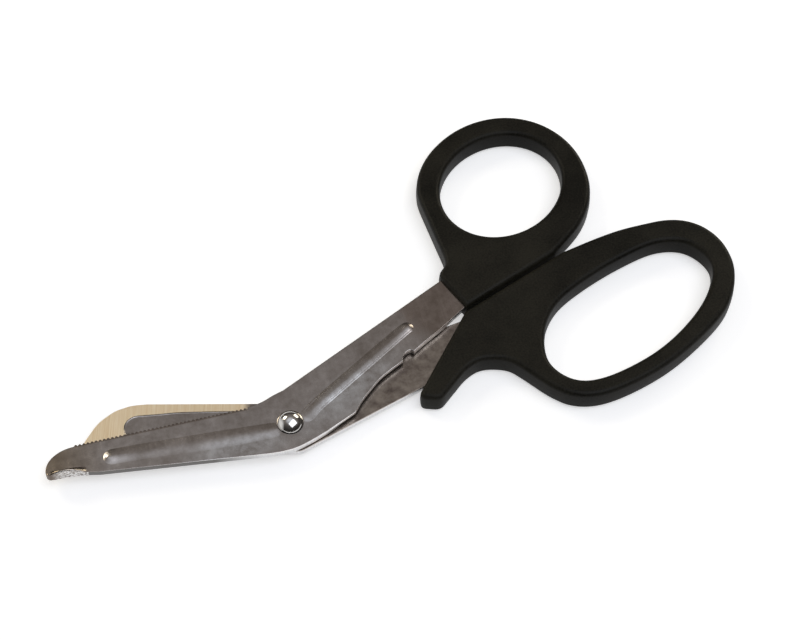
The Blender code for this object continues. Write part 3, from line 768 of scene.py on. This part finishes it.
def sheared_edge():
    """The sheet's cut edges: bright where the shear burnished them, with fine lines through the thickness.
    Along the front shank the lower half of the edge is torn and dull, and painted dark as the shade in the
    gap between the sheets, less so next to the handle, and along the blades the edge is duller than at the
    pivot."""
    mat, tree, shader = new_material("sheared_stainless_edge", Metallic=1.0)
    where = add(tree, "ShaderNodeTexCoord").outputs["Object"]
    # Shear lines 0.4 mm apart, coarser than the real ones so that they show
    lines_at = add(tree, "ShaderNodeMapping", {"Vector": where, "Scale": (2500, 2500, 400)})
    lines = add(tree, "ShaderNodeTexNoise", {"Vector": lines_at.outputs[0], "Scale": 1.0, "Detail": 2.0})
    bright = add(tree, "ShaderNodeMix", {"Factor": lines.outputs["Fac"], "A": linear("#dedbd8"),
                                         "B": linear("#ffffff")}, data_type="RGBA")
    parts = add(tree, "ShaderNodeSeparateXYZ", {"Vector": where})
    # Torn and painted with shade from 45 percent of the front sheet's thickness down, more and more from 6 to
    # 12 mm past the pivot
    half = (FRONT_TOP - SHEET * 0.45) * MM + pivot.z
    deep = add(tree, "ShaderNodeMapRange", {"Value": parts.outputs["Z"], "From Min": half + 0.1 * MM,
                                            "From Max": half - 0.1 * MM})
    in_front = add(tree, "ShaderNodeMath", {0: parts.outputs["Z"], 1: pivot.z}, operation="GREATER_THAN")
    past = add(tree, "ShaderNodeMapRange", {"Value": parts.outputs["X"], "From Min": pivot.x + 6 * MM,
                                            "From Max": pivot.x + 12 * MM})
    on_front = add(tree, "ShaderNodeMath", {0: in_front.outputs[0], 1: past.outputs[0]}, operation="MULTIPLY")
    # Only a third as torn and shaded from 36 mm past the pivot on
    less = add(tree, "ShaderNodeMapRange", {"Value": parts.outputs["X"], "From Min": pivot.x + 31 * MM,
                                            "From Max": pivot.x + 36 * MM, "To Min": 1.0, "To Max": 0.35})
    depth = add(tree, "ShaderNodeMath", {0: deep.outputs[0], 1: less.outputs[0]}, operation="MULTIPLY")
    torn_and_shaded = add(tree, "ShaderNodeMath", {0: depth.outputs[0], 1: on_front.outputs[0]}, operation="MULTIPLY")
    # Duller and duller from 8 to 20 mm before the pivot, and on to the tip
    before = add(tree, "ShaderNodeMapRange", {"Value": parts.outputs["X"], "From Min": pivot.x - 8 * MM,
                                              "From Max": pivot.x - 20 * MM})
    worn = add(tree, "ShaderNodeMix", {"Factor": before.outputs[0], "A": bright.outputs["Result"],
                                       "B": linear("#7b7875")}, data_type="RGBA")
    # The torn lower half painted near black, as the shade in the gap between the two sheets
    tone = add(tree, "ShaderNodeMix", {"Factor": torn_and_shaded.outputs[0], "A": worn.outputs["Result"],
                                       "B": linear("#2b2826")}, data_type="RGBA")
    tree.links.new(tone.outputs["Result"], shader.inputs["Base Color"])
    rough = add(tree, "ShaderNodeMapRange", {"Value": torn_and_shaded.outputs[0], "To Min": 0.28, "To Max": 0.6})
    tree.links.new(rough.outputs[0], shader.inputs["Roughness"])
    return mat


def burnished_foot():
    """The foot's outer wall, worn bright by sliding on the table: shiny, with dark pits and scratches."""
    mat, tree, shader = new_material("burnished_stainless_foot", Metallic=1.0)
    where = add(tree, "ShaderNodeTexCoord").outputs["Object"]
    # Pits and scratches about 0.6 mm long and 0.3 mm high
    pits_at = add(tree, "ShaderNodeMapping", {"Vector": where, "Scale": (1600, 3000, 3000)})
    pits = add(tree, "ShaderNodeTexNoise", {"Vector": pits_at.outputs[0], "Scale": 1.0, "Detail": 3.0,
                                            "Roughness": 0.6})
    bare = add(tree, "ShaderNodeMapRange", {"Value": pits.outputs["Fac"], "From Min": 0.38, "From Max": 0.56})
    # The wear comes in from 59.5 to 57 mm out, behind the chin
    out_at = add(tree, "ShaderNodeSeparateXYZ", {"Vector": where})
    chin = add(tree, "ShaderNodeMapRange", {"Value": out_at.outputs["X"], "From Min": pivot.x - 59.5 * MM,
                                            "From Max": pivot.x - 57 * MM})
    worn = add(tree, "ShaderNodeMath", {0: bare.outputs[0], 1: chin.outputs[0]}, operation="MULTIPLY")
    colour = add(tree, "ShaderNodeMix", {"Factor": worn.outputs[0], "A": linear("#7b7067"),
                                         "B": linear("#f2f0ee")}, data_type="RGBA")
    tree.links.new(colour.outputs["Result"], shader.inputs["Base Color"])
    rough = add(tree, "ShaderNodeMapRange", {"Value": worn.outputs[0], "To Min": 0.35, "To Max": 0.16})
    tree.links.new(rough.outputs[0], shader.inputs["Roughness"])
    bump = add(tree, "ShaderNodeBump", {"Height": pits.outputs["Fac"], "Strength": 0.6,
                                        "Distance": 0.2 * MM})
    tree.links.new(bump.outputs[0], shader.inputs["Normal"])
    return mat


def polished_rivet():
    """Nickel plated rivet, barrel polished: a bright mirror with faint wiping marks."""
    mat, tree, shader = new_material("polished_nickel_rivet", Metallic=1.0)
    where = add(tree, "ShaderNodeTexCoord").outputs["Object"]
    # Wiping marks about 0.8 mm across
    marks = add(tree, "ShaderNodeTexNoise", {"Vector": where, "Scale": 1250.0, "Detail": 3.0})
    tone = add(tree, "ShaderNodeMix", {"Factor": marks.outputs["Fac"], "A": linear("#c6c2bd"),
                                       "B": linear("#eeedec")}, data_type="RGBA")
    tree.links.new(tone.outputs["Result"], shader.inputs["Base Color"])
    rough = add(tree, "ShaderNodeMapRange", {"Value": marks.outputs["Fac"], "From Min": 0.3, "From Max": 0.7,
                                             "To Min": 0.09, "To Max": 0.14})
    tree.links.new(rough.outputs[0], shader.inputs["Roughness"])
    return mat


def plain_washer():
    """Zinc plated washer: dull silver with a slightly mottled plate."""
    mat, tree, shader = new_material("zinc_plated_washer", Metallic=1.0)
    where = add(tree, "ShaderNodeTexCoord").outputs["Object"]
    # Mottles about 1 mm across
    mottle = add(tree, "ShaderNodeTexNoise", {"Vector": where, "Scale": 1000.0, "Detail": 3.0})
    tone = add(tree, "ShaderNodeMix", {"Factor": mottle.outputs["Fac"], "A": linear("#929391"),
                                       "B": linear("#d8d9da")}, data_type="RGBA")
    tree.links.new(tone.outputs["Result"], shader.inputs["Base Color"])
    rough = add(tree, "ShaderNodeMapRange", {"Value": mottle.outputs["Fac"], "To Min": 0.25, "To Max": 0.5})
    tree.links.new(rough.outputs[0], shader.inputs["Roughness"])
    return mat


def moulded_plastic():
    """Black polypropylene from a spark eroded mould: near black, matte, a fine even grain."""
    mat, tree, shader = new_material("moulded_black_polypropylene", IOR=1.49, Specular_IOR_Level=0.15)
    where = add(tree, "ShaderNodeTexCoord").outputs["Object"]
    # Grain about 0.45 mm across, coarser than the real one so that it shows
    grain = add(tree, "ShaderNodeTexNoise", {"Vector": where, "Scale": 2200.0, "Detail": 2.0})
    # Flow marks about 12 mm across
    flow = add(tree, "ShaderNodeTexNoise", {"Vector": where, "Scale": 80.0, "Detail": 3.0})
    mixed = add(tree, "ShaderNodeMath", {0: grain.outputs["Fac"], 1: flow.outputs["Fac"]}, operation="ADD")
    share = add(tree, "ShaderNodeMapRange", {"Value": mixed.outputs[0], "From Min": 0.75, "From Max": 1.25})
    tone = add(tree, "ShaderNodeMix", {"Factor": share.outputs[0], "A": linear("#0a0905"),
                                       "B": linear("#211f18")}, data_type="RGBA")
    tree.links.new(tone.outputs["Result"], shader.inputs["Base Color"])
    rough = add(tree, "ShaderNodeMapRange", {"Value": share.outputs[0], "To Min": 0.40, "To Max": 0.52})
    tree.links.new(rough.outputs[0], shader.inputs["Roughness"])
    bump = add(tree, "ShaderNodeBump", {"Height": grain.outputs["Fac"], "Strength": 0.4,
                                        "Distance": 0.1 * MM})
    tree.links.new(bump.outputs[0], shader.inputs["Normal"])
    return mat


sheet_steel = stamped_sheet()
ground_steel = ground_sheet()
edge_steel = sheared_edge()
foot_steel = burnished_foot()
rivet_steel = polished_rivet()
washer_steel = plain_washer()
plastic = moulded_plastic()


# Handles

def handle(name, lines, node, body):
    """Fills between the outline and the hole at mid height, draws that in and up to a rounded top, and
    mirrors it."""
    piece = begin(name)
    for line in lines:
        trace(flat(line, -pivot.z / MM))
    fill_up()
    step_in([(HANDLE_DRAFT, HANDLE_HALF - HANDLE_ROUND)] + quarter_round(HANDLE_ROUND, 8)
            + [(HANDLE_BAND, 0)])
    apply_modifier(piece, "MIRROR", use_axis=(False, False, True), merge_threshold=2 * MERGE)
    bpy.ops.mesh.select_all(action="SELECT")
    bpy.ops.transform.translate(value=(0, 0, pivot.z))
    end(piece, SHARP_ROUND, body, node, [plastic], node)


handle("thumb_loop", thumb_outline(), "thumb_handle", "thumb_half")
handle("finger_loop", finger_outline(), "finger_handle", "finger_half")

# Front blade: both ribs pressed up, with their hollows below
front = sheet("front_blade_sheet", front_outline(), FRONT_TOP - SHEET)
blade_rib = rib_lines(smooth(BLADE_RIB, 6), blunt=0.35, soft_low=0.8, soft_high=0)
shank_rib = rib_lines(smooth(SHANK_RIB, 6), blunt=0.3, soft_low=0, soft_high=0)
press(FRONT_TOP, [rings(blade_rib, 0, RIB_REACH, None, RIB_RINGS),
                  rings(shank_rib, 0, RIB_REACH, None, RIB_RINGS)])
press(FRONT_TOP - SHEET, [rings(blade_rib, HOLLOW_START, RIB_REACH, BLADE_HOLLOW, HOLLOW_RINGS),
                          rings(shank_rib, HOLLOW_START, RIB_REACH, SHANK_HOLLOW, HOLLOW_RINGS)])

# The foot's turned-up lip: one section after another from part way round the chin along the nose's underside,
# rising and dying out again, bridged and joined on
lip = begin("foot_lip")
line = chin_run()[LIP_SKIP:] + [p for p in foot_run()[1:] if p[0] < LIP_END]
for k, p in enumerate(line):
    ahead = Vector(line[min(k + 1, len(line) - 1)]) - Vector(line[max(k - 1, 0)])
    left = Vector((-ahead.y, ahead.x)).normalized()
    share = (p[0] - line[0][0]) / (line[-1][0] - line[0][0])
    rise = LIP_RISE * math.sin(math.pi * (LIP_START + (1 - LIP_START) * share))
    section = [(LIP_EDGE, RIM - SHEET)] + [(u, rise * part) for u, part in LIP_SECTION]
    section += [(LIP_ROOT, 0.02), (LIP_ROOT, -0.5), (0.5, RIM - SHEET)]
    trace([(p[0] + left.x * u, p[1] + left.y * u, FRONT_TOP + z) for u, z in section])
bpy.ops.mesh.select_all(action="SELECT")
bpy.ops.mesh.bridge_edge_loops()
pick("EDGE", lambda e: len(e.link_faces) == 1)
bpy.ops.mesh.fill(use_beauty=True)
bpy.ops.mesh.select_all(action="SELECT")
bpy.ops.mesh.normals_make_consistent(inside=False)
bpy.ops.object.mode_set(mode="OBJECT")
bpy.ops.object.select_all(action="DESELECT")
bpy.context.view_layer.objects.active = front
front.select_set(True)
apply_modifier(front, "BOOLEAN", operation="UNION", solver="MANIFOLD", object=lip)
bpy.data.objects.remove(lip, do_unlink=True)
mark_creases(FRONT_TOP)
mark_creases(FRONT_TOP - SHEET)
end(front, SHARP_SHEET, "thumb_half", "front_blade", [sheet_steel, edge_steel, foot_steel], "front_blade")
for face in front.data.polygons:
    where = (face.center - pivot) / MM
    if abs(face.normal.z) < STEEP:
        face.material_index = 1
    if where.x < LIP_END + 0.4 and where.y < NOSE_HEIGHT and abs(face.normal.z) < STEEP_FOOT:
        face.material_index = 2

# Rear blade: a groove pressed down, with its rib below
rear = sheet("rear_blade_sheet", rear_outline(), REAR_TOP - SHEET)
groove = rib_lines([(*rear_frame(a, b), half, half, 0) for a, b, half in smooth(GROOVE, 6)],
                   blunt=0, soft_low=0, soft_high=0)
press(REAR_TOP, [rings(groove, 0, GROOVE_WALL, -GROOVE_DEPTH, GROOVE_RINGS)], GROOVE_MARGIN)
press(REAR_TOP - SHEET, [rings(groove, 0, RIB_REACH, -GROOVE_BACK, RIB_RINGS)])
mark_creases(REAR_TOP)
mark_creases(REAR_TOP - SHEET)
end(rear, SHARP_SHEET, "finger_half", "rear_blade", [ground_steel, sheet_steel, edge_steel], "rear_blade")
for face in rear.data.polygons:
    height = (face.center.z - pivot.z) / MM
    if height < REAR_TOP - GROUND_DEPTH:
        face.material_index = 1
    if abs(face.normal.z) < STEEP and not REAR_TOP - GROOVE_DEPTH < height < REAR_TOP:
        face.material_index = 2

# Rivet: its half section spun about the pivot
rivet = begin("pivot_rivet_dome")
ball = (RIVET_HEAD ** 2 + RIVET_DOME ** 2) / (2 * RIVET_DOME)
spread = math.asin(RIVET_HEAD / ball)
turns = [spread * k / DOME_STEPS for k in range(DOME_STEPS, 0, -1)]
dome_top = RIVET_SEAT + RIVET_DOME
tail = [(TAIL_OUTER * share, 0, TAIL_LOW + up) for share, up in TAIL_CURVE]
body = [(TAIL_OUTER, 0, TAIL_TOP), (RIVET_BODY, 0, TAIL_TOP), (RIVET_BODY, 0, RIVET_SEAT)]
dome = [(ball * math.sin(a), 0, dome_top - ball * (1 - math.cos(a))) for a in turns]
spin_round(tail + body + dome + [(0, 0, dome_top)], closed=False)
end(rivet, SHARP_ROUND, "thumb_half", "pivot_rivet", [rivet_steel], "pivot_rivet")

# Washer: a ring's section spun about the pivot, its rims broken
washer = begin("tail_washer_ring")
spin_round([(BORE, 0, WASHER_LOW), (WASHER_OUTER - WASHER_RIM, 0, WASHER_LOW),
            (WASHER_OUTER, 0, WASHER_LOW + WASHER_RIM), (WASHER_OUTER, 0, WASHER_TOP - WASHER_RIM),
            (WASHER_OUTER - WASHER_RIM, 0, WASHER_TOP), (BORE, 0, WASHER_TOP)], closed=True)
end(washer, SHARP_ROUND, "thumb_half", "tail_washer", [washer_steel], "tail_washer")


# Studio

def toward(x, y, z, distance):
    """A place in a direction from the shears, X to the picture's right and Y away from the camera."""
    d = Vector((x, y, z)).normalized() * distance
    a = math.radians(-ROOM_TURN)
    return Vector((d.x * math.cos(a) - d.y * math.sin(a), d.x * math.sin(a) + d.y * math.cos(a), d.z))


def softbox(name, position, width, height, power, colour):
    """A soft lamp that faces the shears, in metres and watts."""
    lamp = bpy.data.lights.new(name, "AREA")
    lamp.shape = "RECTANGLE"
    lamp.size = width
    lamp.size_y = height
    lamp.energy = power
    lamp.color = linear(colour)[:3]
    obj = bpy.data.objects.new(name, lamp)
    bpy.context.scene.collection.objects.link(obj)
    obj.location = position
    obj.rotation_euler = (-position).to_track_quat("-Z", "Y").to_euler()


softbox("overhead_softbox", toward(0.36, -0.30, 0.88, distance=1.5), width=1.6, height=1.2, power=10.4,
        colour="#f3f7ff")
softbox("left_softbox", toward(-0.62, 0.50, 0.61, distance=1.2), width=0.5, height=0.42, power=3.0,
        colour="#fff6e0")
softbox("right_softbox", toward(0.51, 0.75, 0.41, distance=1.2), width=0.5, height=0.42, power=3.0,
        colour="#fff6e0")

# The room: grey behind the shears, darker low down, a pale ceiling, dark behind the camera, and a white card
# on the left
world = bpy.data.worlds.new("studio_room")
bpy.context.scene.world = world
world.use_nodes = True
room = world.node_tree
back = room.nodes["Background"]
direction = add(room, "ShaderNodeTexCoord").outputs["Generated"]
turned = add(room, "ShaderNodeMapping", {"Vector": direction, "Rotation": (0, 0, math.radians(ROOM_TURN))})
parts = add(room, "ShaderNodeSeparateXYZ", {"Vector": turned.outputs[0]})
up_wall = add(room, "ShaderNodeMapRange", {"Value": parts.outputs["Z"], "From Min": 0.3, "From Max": 0.85})
wall = add(room, "ShaderNodeMix", {"Factor": up_wall.outputs[0], "A": linear("#44403d"),
                                   "B": linear("#87817d")}, data_type="RGBA")
overhead = add(room, "ShaderNodeMapRange", {"Value": parts.outputs["Z"], "From Min": 0.82, "From Max": 1.0})
ceiling = add(room, "ShaderNodeMix", {"Factor": overhead.outputs[0], "A": wall.outputs["Result"],
                                      "B": linear("#e2e6ee")}, data_type="RGBA")
depth = add(room, "ShaderNodeMapRange", {"Value": parts.outputs["Y"], "From Min": -0.6, "From Max": 0.1,
                                         "To Min": 0.35, "To Max": 1.0})
walls = add(room, "ShaderNodeMix", {"Factor": depth.outputs[0], "A": linear("#1c1c1c"),
                                    "B": ceiling.outputs["Result"]}, data_type="RGBA")
card = add(room, "ShaderNodeMapRange", {"Value": parts.outputs["X"], "From Min": -0.75, "From Max": -0.95})
lit = add(room, "ShaderNodeMix", {"Factor": card.outputs[0], "A": walls.outputs["Result"],
                                  "B": linear("#f2f2f2")}, data_type="RGBA")
room.links.new(lit.outputs["Result"], back.inputs["Color"])

# Floor: white, a little of its white its own for the camera and for reflections, so it keeps the shadow
bpy.ops.object.select_all(action="DESELECT")
bpy.ops.mesh.primitive_plane_add(size=16, location=(0, 0, 0))
floor = bpy.context.object
floor.name = "studio_floor"
paper, tree, shader = new_material("white_studio_paper", Roughness=0.9)
shader.inputs["Base Color"].default_value = linear("#e8e8e8")
shader.inputs["Specular IOR Level"].default_value = 0.0
path = add(tree, "ShaderNodeLightPath")
dim = add(tree, "ShaderNodeMath", {0: path.outputs["Is Glossy Ray"], 1: 0.3}, operation="MULTIPLY")
own = add(tree, "ShaderNodeMath", {0: path.outputs["Is Camera Ray"], 1: 0.5, 2: dim.outputs[0]},
          operation="MULTIPLY_ADD")
shader.inputs["Emission Color"].default_value = (1, 1, 1, 1)
tree.links.new(own.outputs[0], shader.inputs["Emission Strength"])
floor.data.materials.append(paper)

# Camera, at the photograph's viewing angle
camera = bpy.data.objects.new("photo_camera", bpy.data.cameras.new("photo_camera"))
bpy.context.scene.collection.objects.link(camera)
camera.location = place(*CAMERA_PLACE)
camera.rotation_euler = Vector(CAMERA_LOOK).to_track_quat("-Z", "Y").to_euler()
camera.data.lens = CAMERA_LENS
camera.data.sensor_width = 36.0
camera.data.clip_start = 0.01
camera.data.clip_end = 50.0
bpy.context.scene.camera = camera
bpy.context.scene.view_settings.view_transform = "Standard"
